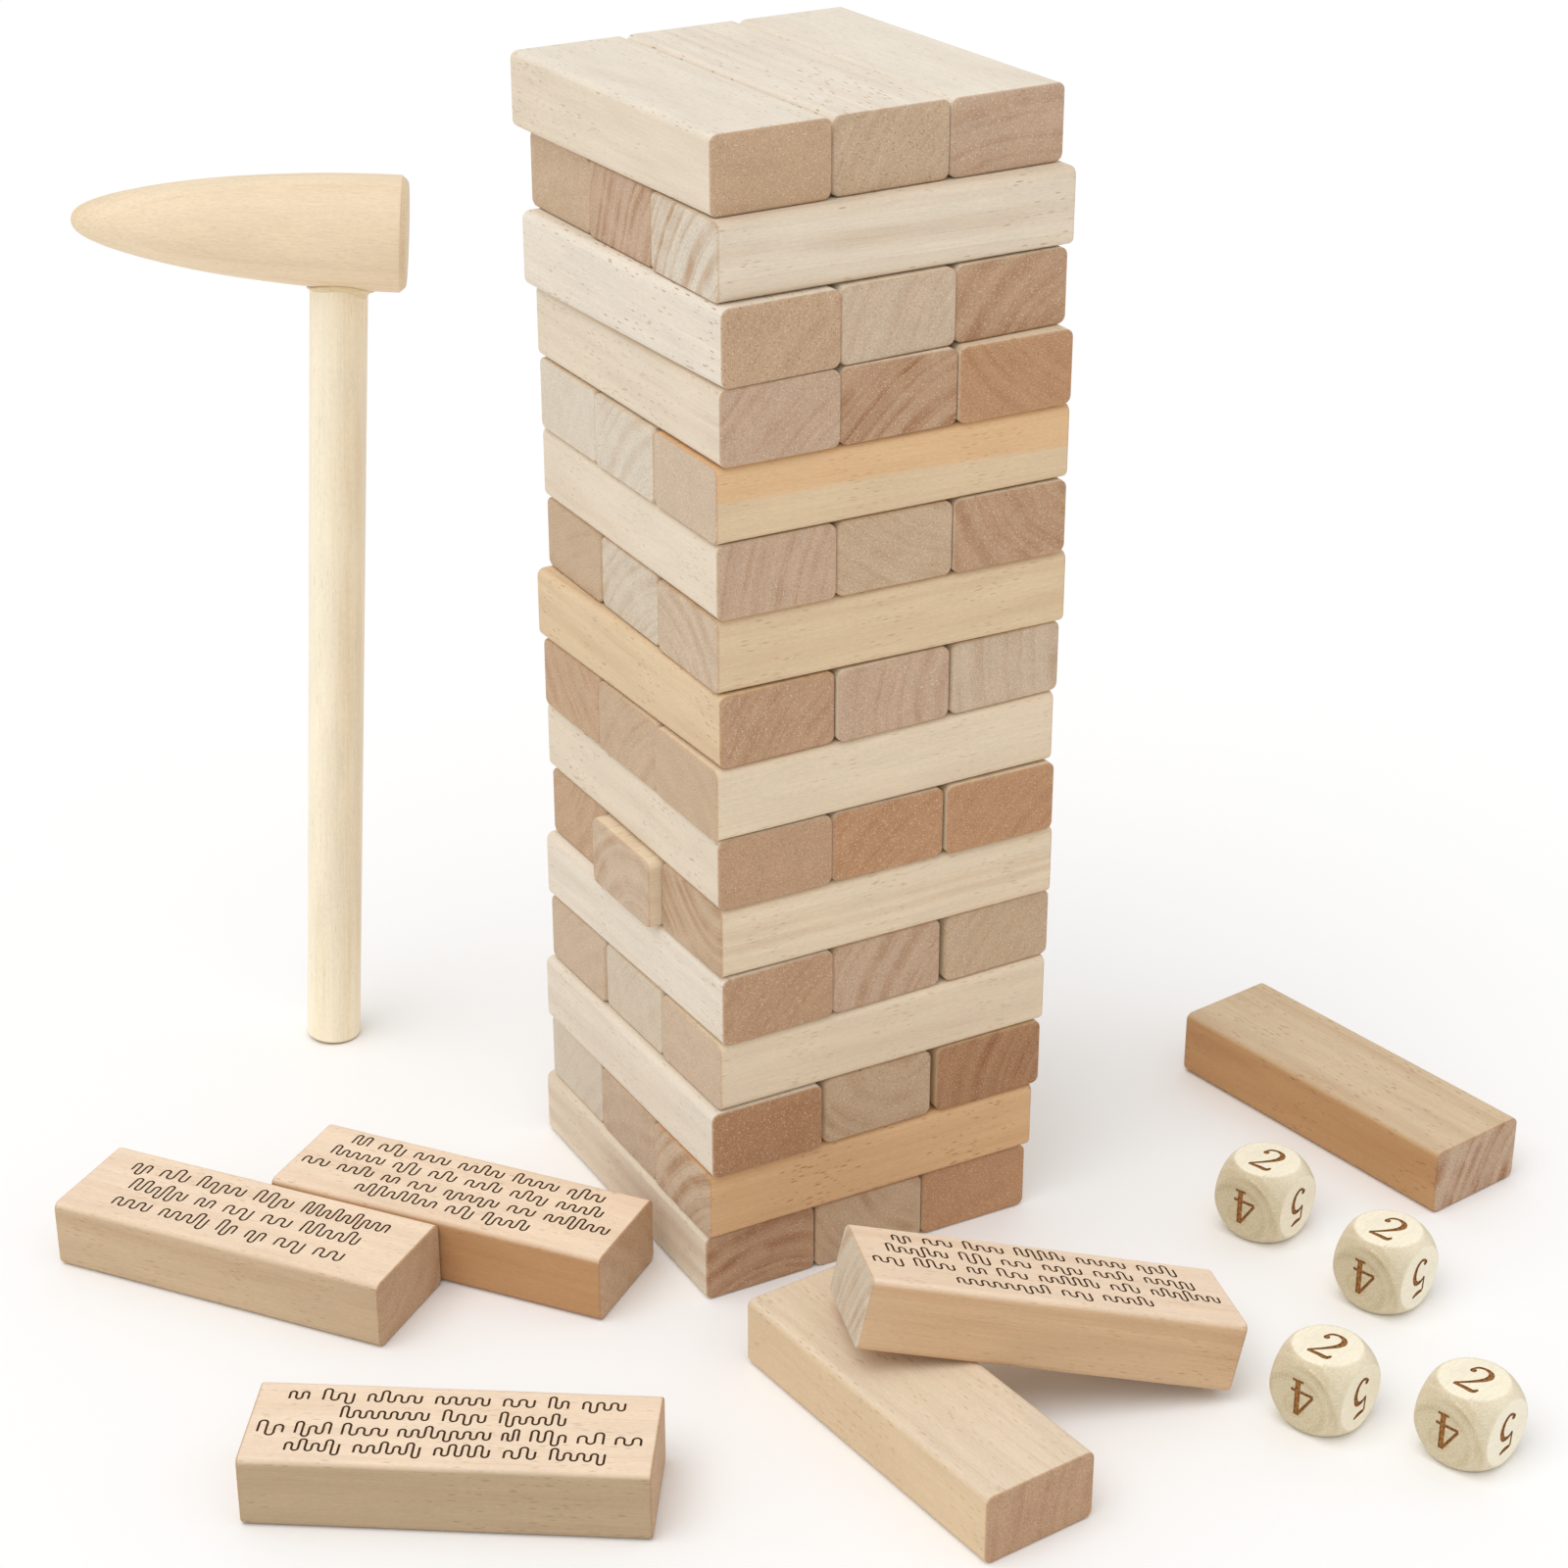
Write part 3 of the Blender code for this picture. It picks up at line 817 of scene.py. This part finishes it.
def build_block(node, number, settings, wood, burnt):
    """One block: rounded by sanding, sawn from its own place in its own log."""
    matrix, size = block_frame(node)
    half = size / 2
    draw = random.Random(number * 7 + 3)
    offset = draw.uniform(-50, 50)
    wear, end_round = settings.edge_wear, settings.end_round

    def radius_at(x):
        # This noise reaches about 0.6, and changes over 30 mm.
        return settings.edge_round * (1 + wear * 1.6 * noise.noise((x / 0.03, offset, 0)))

    def normal_at(p):
        return bar_normal(p, half, radius_at(p.x), end_round)

    long_name, end_name, bearing, distance, gap, rings, pores = BLOCK_LOOKS[node]
    seen_end = 1 if node.startswith("loose") and "leaning" not in node else -1
    pith = distance * Vector((math.cos(math.radians(bearing)), math.sin(math.radians(bearing))))
    slope = Vector((draw.uniform(-0.025, 0.025), draw.uniform(-0.02, 0.02)))
    far_along = draw.uniform(100, 900)

    def log_at(p):
        """Across the log and along it, in millimetres from the pith."""
        right, up, along = p.y * seen_end / MM, p.z / MM, p.x / MM
        return (right - pith.x + slope.x * along, up - pith.y + slope.y * along, along + far_along)

    sides = Vector(getattr(settings, long_name))
    top = Vector(getattr(settings, PAINTED_LIGHT_TOPS.get(node, long_name)))

    def long_tone(n):
        # Painted light: the paler top tone starts half way round the upper edges.
        return sides.lerp(top, max(0.0, min(1.0, n.z * 1.6 - 0.5)))

    heart_name, heart_reach = HEARTWOOD.get(node, (long_name, NO_HEARTWOOD))
    obj = rounded_bar("wood_" + node, half, radius_at, end_round, [wood])
    if node in MARK_LINES:
        outlines = mark_outlines(MARK_LINES[node], size, settings.stroke_width, number)
        cutter = prisms("marks", outlines, half.z - settings.mark_depth, half.z + 1 * MM, burnt)
        carve(obj, cutter)
    tones = (long_tone, getattr(settings, heart_name), getattr(settings, end_name))
    # Rings show most on the ends and only a little on the long faces.
    figure = (0.25 * rings + 0.6 * rings**2, 0.05 + rings * 0.2, min(1.0, pores * 1.7))
    finish_skin(obj, normal_at, log_at, tones, figure, gap, heart_reach)
    settle(obj, matrix, node)


class BuildBlocks(Operator):
    """Build every block of the tower and the drawn blocks beside it"""

    bl_idname = "tumbling_tower.build_blocks"
    bl_label = "Blocks"

    def execute(self, context):
        settings = context.scene.tower_wood
        wood = sanded_rubberwood()
        burnt = burnt_wood("laser_burnt_marks", settings)
        for number, node in enumerate(BLOCK_LOOKS):
            build_block(node, number, settings, wood, burnt)
        return {"FINISHED"}


# ---------------------------------------------------------------------------------------------
# Dice


def smooth_run(points, steps=7):
    """Points along a Catmull-Rom curve through a run of (x, y, half width)."""
    if len(points) == 2:
        return [Vector(p) for p in points]
    ends = [points[0], *points, points[-1]]
    made = []
    for k in range(len(points) - 1):
        a, b, c, d = (Vector(p) for p in ends[k : k + 4])
        for i in range(steps):
            t = i / steps
            made.append(
                0.5 * (2 * b + (c - a) * t + (2 * a - 5 * b + 4 * c - d) * t**2
                       + (3 * b - a - 3 * c + d) * t**3)
            )
    return [*made, Vector(points[-1])]


def numeral_outlines(numeral):
    """Flat outlines of a numeral's strokes and ball ends, in metres."""
    strokes, balls = NUMERALS[numeral]
    outlines = []
    for stroke in strokes:
        run = smooth_run(stroke)
        left, right = [], []
        for i, p in enumerate(run):
            ahead = run[min(i + 1, len(run) - 1)] - run[max(i - 1, 0)]
            side = Vector((-ahead.y, ahead.x)).normalized() * (p.z * 1.2 + 0.08)
            left.append(((p.x + side.x) * MM, (p.y + side.y) * MM))
            right.append(((p.x - side.x) * MM, (p.y - side.y) * MM))
        outlines.append(right + left[::-1])
    for x, y, radius in balls:
        turns = [math.tau * k / 20 for k in range(20)]
        outlines.append(
            [((x + radius * math.cos(t)) * MM, (y + radius * math.sin(t)) * MM) for t in turns]
        )
    return outlines


def die_distance(direction, half, ball, sharpness):
    """How far the die's skin is from its middle: a ball cut by six planes, rims softened."""
    k = sharpness
    total = (1 / ball) ** k + sum((abs(c) / half) ** k for c in direction)
    return total ** (-1 / k)


def build_die_mesh(half, settings, wood, burnt):
    """A die in its own frame: numerals carved into a ball with six flats."""
    steps, spread = 46, math.radians(42)
    lines = [math.tan(spread * (2 * k / steps - 1)) / math.tan(spread) for k in range(steps + 1)]
    places, points, faces = {}, [], []

    def point(index):
        if index not in places:
            direction = Vector(lines[i] for i in index).normalized()
            places[index] = len(points)
            points.append(
                direction * die_distance(direction, half, settings.ball_radius, settings.softness)
            )
        return places[index]

    for a in range(3):
        b, c = (a + 1) % 3, (a + 2) % 3
        for side in (0, steps):
            for i in range(steps):
                for j in range(steps):
                    corners = []
                    for di, dj in ((0, 0), (1, 0), (1, 1), (0, 1)):
                        index = [0, 0, 0]
                        index[a], index[b], index[c] = side, i + di, j + dj
                        corners.append(point(tuple(index)))
                    faces.append(corners if side else corners[::-1])
    die = mesh_object("die_blank", points, faces, [wood])

    # Each numeral: the way it reads and its up, in the die's frame.
    x, y, z = Vector((1, 0, 0)), Vector((0, 1, 0)), Vector((0, 0, 1))
    sides = (("2", -y, x), ("4", y, -z), ("5", -x, -z), ("3", -y, -z), ("1", x, -z), ("6", y, x))
    for numeral, reads, up in sides:
        out = reads.cross(up)
        place = Matrix((reads, up, out)).transposed().to_4x4()
        place.translation = out * half
        cutter = prisms(
            "numeral", numeral_outlines(numeral), -settings.engraving_depth, 2 * MM, burnt, place
        )
        carve(die, cutter, use_self=True)

    def normal_at(p):
        direction = p.normalized()
        k = settings.softness
        nearness = [abs(c) / half for c in direction]
        most = max(*nearness, 1 / settings.ball_radius)
        pulls = [(v / most) ** (k - 1) / half for v in nearness]
        ball_pull = (1 / settings.ball_radius / most) ** (k - 1) / settings.ball_radius
        flat_part = Vector(math.copysign(v, c) for v, c in zip(pulls, direction))
        return (flat_part + direction * ball_pull).normalized()

    def log_at(p):
        return (p.y / MM - 3.0, p.z / MM + 4.0, p.x / MM + 300)

    flat_tone, ball_tone = Vector(settings.long_tone), Vector(settings.ball_tone)

    def long_tone(n):
        # The flats' tone fades in over the last degrees before a flat.
        return ball_tone.lerp(flat_tone, max(0.0, min(1.0, (max(map(abs, n)) - 0.97) / 0.02)))

    tones = (long_tone, settings.long_tone, settings.end_tone)
    finish_skin(die, normal_at, log_at, tones, figure=(0.4, 0.02, 0.3), gap=1.6)
    mesh = die.data
    bpy.data.objects.remove(die, do_unlink=True)
    return mesh


class BuildDice(Operator):
    """Build the four dice"""

    bl_idname = "tumbling_tower.build_dice"
    bl_label = "Dice"

    def execute(self, context):
        settings = context.scene.dice_look
        wood = sanded_basswood()
        burnt = burnt_wood("branded_numerals", settings)
        mesh = None
        for number in range(1, 5):
            node = f"die_{number}"
            low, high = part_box(node)
            level = [f for f in flats(node)[:6] if abs(f[1].z) < 0.1]
            x = -min(level, key=lambda flat: flat[1].x)[1]
            half = (high.z - low.z) / 2
            if mesh is None:
                mesh = build_die_mesh(half, settings, wood, burnt)
            up = Vector((0, 0, 1))
            matrix = Matrix((x, up.cross(x), up)).transposed().to_4x4()
            matrix.translation = (low + high) / 2
            obj = bpy.data.objects.new("wood_" + node, mesh.copy())
            context.scene.collection.objects.link(obj)
            settle(obj, matrix, node)
        return {"FINISHED"}


# ---------------------------------------------------------------------------------------------
# Mallet


def lathe(name, profile, turns, materials):
    """A turned piece about X, from (along, radius) pairs whose first and last radius is 0."""
    points, faces, rows = [], [], []
    for along, radius in profile:
        if radius < 1e-7:
            rows.append([len(points)] * turns)
            points.append((along, 0, 0))
            continue
        rows.append([len(points) + k for k in range(turns)])
        for k in range(turns):
            t = math.tau * k / turns
            points.append((along, radius * math.cos(t), radius * math.sin(t)))
    for first, second in zip(rows, rows[1:]):
        for k in range(turns):
            j = (k + 1) % turns
            corners = [first[k], second[k], second[j], first[j]]
            corners = [c for i, c in enumerate(corners) if c not in corners[:i]]
            faces.append(corners[::-1])
    return mesh_object(name, points, faces, materials)


def turned_profile(node, matrix):
    """The outline of a turned CAD node, as (along, radius) pairs in metres from its low end.

    Only rings that run most of the way round count, which leaves a cut bore's points out.
    """
    inverse = matrix.inverted()
    rings = {}
    for v in frame["nodes"][node].data.vertices:
        p = inverse @ v.co
        turn = round(math.degrees(math.atan2(p.z, p.y)) / 5)
        rings.setdefault(round(p.x / MM, 1), {})[turn] = math.hypot(p.y, p.z)
    return sorted(
        (key * MM, max(ring.values()))
        for key, ring in rings.items()
        if len(ring) >= 14 or max(ring.values()) < 1e-5
    )


def smooth_profile(profile, steps=6):
    """The same outline with more points, on a curve through every one."""
    run = smooth_run([(a, r, 0.0) for a, r in profile], steps)
    return [(p.x, max(0.0, p.y)) for p in run]


def axis_matrix(origin, x, up):
    """A frame at a point, with its X along an axis and its Z nearest to up."""
    y = up.cross(x).normalized()
    z = x.cross(y)
    matrix = Matrix((x, y, z)).transposed().to_4x4()
    matrix.translation = origin
    return matrix


Handle = namedtuple("Handle", "foot shaft length radius")


def handle_frame(handle):
    """The handle's own frame: its foot at the origin, and X up its shaft."""
    return axis_matrix(handle.foot, handle.shaft, Vector((0, 1, 0)))


class BuildMallet(Operator):
    """Build the mallet's turned head, its handle and the dried glue between them"""

    bl_idname = "tumbling_tower.build_mallet"
    bl_label = "Mallet"

    def execute(self, context):
        settings = context.scene.mallet_look
        handle_caps = [f for f in flats("mallet_handle") if abs(f[1].z) > 0.9][:2]
        shaft = max(handle_caps, key=lambda flat: flat[1].z)[1]
        handle_points = [v.co for v in frame["nodes"]["mallet_handle"].data.vertices]
        low = min(p.dot(shaft) for p in handle_points)
        high = max(p.dot(shaft) for p in handle_points)
        centre = sum(handle_points, Vector()) / len(handle_points)
        foot = centre - shaft * (centre.dot(shaft) - low)
        side = shaft.orthogonal().normalized()
        radius = max((p - foot).dot(side) for p in handle_points)
        handle = Handle(foot, shaft, high - low, radius)

        disc = flats("mallet_head")[0][1]
        head_points = [v.co for v in frame["nodes"]["mallet_head"].data.vertices]
        tip = min(head_points, key=lambda p: p.dot(disc))
        head_frame = axis_matrix(tip, disc, shaft)
        outline = turned_profile("mallet_head", head_frame)
        self.build_head(settings, outline, head_frame, handle)
        self.build_handle(settings, handle)
        self.build_glue(settings, handle, tip, disc, max(r for _, r in outline))
        return {"FINISHED"}

    def build_head(self, settings, outline, place, handle):
        """The head: its nose is at the start of its outline, its striking face at the end."""
        profile = smooth_profile(outline[:-1])
        (rim_along, rim_radius), (end_along, end_radius) = outline[-2:]
        turns = [math.radians(10 * k) for k in range(1, 10)]
        profile += [
            (rim_along + (end_along - rim_along) * math.sin(t),
             end_radius + (rim_radius - end_radius) * math.cos(t))
            for t in turns
        ]
        if profile[0][1] > 1e-6:
            profile.insert(0, (profile[0][0], 0.0))
        profile.append((profile[-1][0], 0.0))
        wood = turned_beech()
        head = lathe("wood_mallet_head", profile, 96, [wood])
        gap = 0.3 * MM
        start, end, width = handle.length * 0.8, handle.length + gap, handle.radius + gap
        bore = lathe("bore", [(start, 0), (start, width), (end, width), (end, 0)], 64, [wood])
        bore.data.transform(place.inverted() @ handle_frame(handle))
        carve(head, bore)
        stretches = list(zip(profile[1:-2], profile[2:-1]))

        def normal_at(p):
            along, from_axis = p.x, math.hypot(p.y, p.z)
            out = Vector((0, p.y, p.z)).normalized()
            if along > profile[-1][0] - 1e-5 and from_axis < profile[-2][1] - 1e-4:
                return Vector((1, 0, 0))
            if along > rim_along:
                out *= from_axis - end_radius
                return (out + Vector((along - rim_along, 0, 0))).normalized()
            for (a0, r0), (a1, r1) in stretches:
                if a0 - 1e-6 <= along <= a1 + 1e-6 and a1 > a0:
                    return (out - Vector(((r1 - r0) / (a1 - a0), 0, 0))).normalized()
            return Vector((-1 if along < 1 * MM else 1, 0, 0))

        def log_at(p):
            return (p.y / MM + 46, p.z / MM - 16, p.x / MM * 0.9 + 400)

        tones = (lambda n: settings.head_tone, settings.head_tone, settings.head_end_tone)
        finish_skin(head, normal_at, log_at, tones, figure=(0.3, 0.24, 0.15), gap=7.0)
        settle(head, place, "mallet_head")

    def build_handle(self, settings, handle):
        """The dowel, with both ends eased."""
        reach, radius, soft = handle.length, handle.radius, 1.1 * MM
        turns = [math.radians(15 * k) for k in range(7)]
        arc = [(soft * (1 - math.cos(t)), radius - soft * (1 - math.sin(t))) for t in turns]
        body = [(0, 0), *arc, *[(reach * k / 10, radius) for k in range(1, 10)]]
        profile = [*body, *[(reach - a, r) for a, r in reversed(arc)], (reach, 0)]
        dowel = lathe("wood_mallet_handle", profile, 72, [birch_dowel()])

        def normal_at(p):
            core = Vector((max(soft, min(reach - soft, p.x)), 0, 0))
            out = Vector((0, p.y, p.z))
            flat = min(out.length, radius - soft)
            core += out.normalized() * flat if out.length else out
            if out.length < radius - soft - 1e-6:
                return Vector((-1 if p.x < reach / 2 else 1, 0, 0))
            return (p - core).normalized()

        def log_at(p):
            return (p.y / MM + 34 + p.x / MM * 0.012, p.z / MM + 22, p.x / MM + 900)

        tones = (lambda n: settings.handle_tone, settings.handle_tone, settings.handle_end_tone)
        finish_skin(dowel, normal_at, log_at, tones, figure=(0.3, 0.2, 0.3), gap=3.4)
        settle(dowel, handle_frame(handle), "mallet_handle")

    def build_glue(self, settings, handle, tip, disc, head_radius):
        """A bead that follows the saddle where the handle enters the head."""
        foot, shaft, radius = handle.foot, handle.shaft, handle.radius
        head_axis = disc.normalized()
        across = shaft.cross(head_axis).normalized()
        reach = (tip - foot).dot(shaft)
        turns, points, faces = 96, [], []
        for k in range(turns):
            t = math.tau * k / turns
            out = head_axis * math.cos(t) + across * math.sin(t)
            ripple = noise.noise(Vector((math.cos(t) * 1.7, math.sin(t) * 1.7, 3.1)))
            bulge = max(0.0, math.cos(t + 0.5)) ** 6
            width = (1.4 + 1.2 * ripple + 3.0 * bulge) * MM
            drop = (1.2 + 1.0 * noise.noise(Vector((math.cos(t) * 1.4, math.sin(t) * 1.4, 8)))) * MM
            drop += 2.2 * bulge * MM

            def height(r):
                return reach - math.sqrt(max(0.0, head_radius**2 - (r * math.sin(t)) ** 2))

            near, far = radius - 0.2 * MM, radius + max(0.5 * MM, width)
            base = height(near)
            bead = [
                (near, base + 0.6 * MM),
                (near, base - max(0.4 * MM, drop)),
                (radius + 0.45 * MM, base - 0.75 * max(0.4 * MM, drop)),
                ((near + far) / 2 + 0.2 * MM, height((near + far) / 2) - 0.55 * MM),
                (far, height(far) + 0.1 * MM),
                ((near + far) / 2, height((near + far) / 2) + 0.8 * MM),
            ]
            points += [foot + out * r + shaft * h for r, h in bead]
        count = len(bead)
        for k in range(turns):
            j = (k + 1) % turns
            for i in range(count):
                m = (i + 1) % count
                faces.append([k * count + i, k * count + m, j * count + m, j * count + i])
        glue = mesh_object("glue_under_head", points, faces, [dried_glue(settings)])
        shape = bmesh.new()
        shape.from_mesh(glue.data)
        bmesh.ops.recalc_face_normals(shape, faces=shape.faces)
        bmesh.ops.subdivide_edges(shape, edges=shape.edges, cuts=1, use_grid_fill=True, smooth=0.6)
        shape.to_mesh(glue.data)
        shape.free()
        glue.data.shade_smooth()
        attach(glue, BODY_OF["mallet_head"])


# ---------------------------------------------------------------------------------------------
# Stage


class BuildStage(Operator):
    """Build the floor, the soft light and the camera"""

    bl_idname = "tumbling_tower.build_stage"
    bl_label = "Stage"

    def execute(self, context):
        settings = context.scene.tower_stage
        scene = context.scene
        rings = [0.0, 0.5, 1.5, 4.0, 10.0, 24.0]
        points, faces, turns = [(0, 0, FLOOR_LEVEL)], [], 48
        for radius in rings[1:]:
            points += [
                (radius * math.cos(math.tau * k / turns), radius * math.sin(math.tau * k / turns),
                 FLOOR_LEVEL)
                for k in range(turns)
            ]
        for k in range(turns):
            j = (k + 1) % turns
            faces.append([0, 1 + k, 1 + j])
            for ring in range(len(rings) - 2):
                a, b = 1 + ring * turns, 1 + (ring + 1) * turns
                faces.append([a + k, b + k, b + j, a + j])
        floor = mesh_object("floor", points, faces, [matt_paper(settings.floor_tone)])

        world = bpy.data.worlds.new("soft_white_room")
        world.use_nodes = True
        sky = world.node_tree.nodes["Background"].inputs
        sky["Color"].default_value = (1, 1, 1, 1)
        sky["Strength"].default_value = settings.sky_strength
        scene.world = world

        light = bpy.data.lights.new("key_softbox", "SUN")
        light.energy = settings.key_strength
        light.angle = math.radians(50)
        key = bpy.data.objects.new("key_softbox", light)
        scene.collection.objects.link(key)
        key.rotation_mode = "QUATERNION"
        key.rotation_quaternion = SUN_SIDE.normalized().to_track_quat("Z", "Y")

        lens = bpy.data.cameras.new("camera")
        lens.lens = CAMERA_LENS
        lens.sensor_width = 36.0
        lens.clip_end = 100
        camera = bpy.data.objects.new("camera", lens)
        scene.collection.objects.link(camera)
        camera.location = CAMERA_PLACE
        camera.rotation_euler = (math.radians(CAMERA_TURN[0]), 0, math.radians(CAMERA_TURN[1]))
        scene.camera = camera
        scene.view_settings.view_transform = "Standard"
        return {"FINISHED"}


class TUMBLING_TOWER_PT_sidebar(Panel):
    """Lists the pieces and their settings"""

    bl_idname = "TUMBLING_TOWER_PT_sidebar"
    bl_label = "Tumbling Tower"
    bl_space_type = "VIEW_3D"
    bl_region_type = "UI"
    bl_category = "Tumbling Tower"

    def draw(self, context):
        for group, _, operator in PARTS:
            box = self.layout.box()
            box.operator(operator.bl_idname)
            settings = getattr(context.scene, group)
            for name in settings.bl_rna.properties.keys():
                if name not in ("rna_type", "name"):
                    box.prop(settings, name)


PARTS = (
    ("tower_wood", TowerWoodSettings, BuildBlocks),
    ("dice_look", DiceSettings, BuildDice),
    ("mallet_look", MalletSettings, BuildMallet),
    ("tower_stage", StageSettings, BuildStage),
)
CLASSES = (*(made for part in PARTS for made in part[1:]), TUMBLING_TOWER_PT_sidebar)


def register():
    for made in CLASSES:
        bpy.utils.register_class(made)
    for name, group, _ in PARTS:
        setattr(bpy.types.Scene, name, PointerProperty(type=group))


def unregister():
    for name, _, _ in PARTS:
        delattr(bpy.types.Scene, name)
    for made in reversed(CLASSES):
        bpy.utils.unregister_class(made)


def main():
    register()
    bpy.ops.tumbling_tower.build_stage()
    bpy.ops.tumbling_tower.build_blocks()
    bpy.ops.tumbling_tower.build_dice()
    bpy.ops.tumbling_tower.build_mallet()


if __name__ == "__main__":
    main()
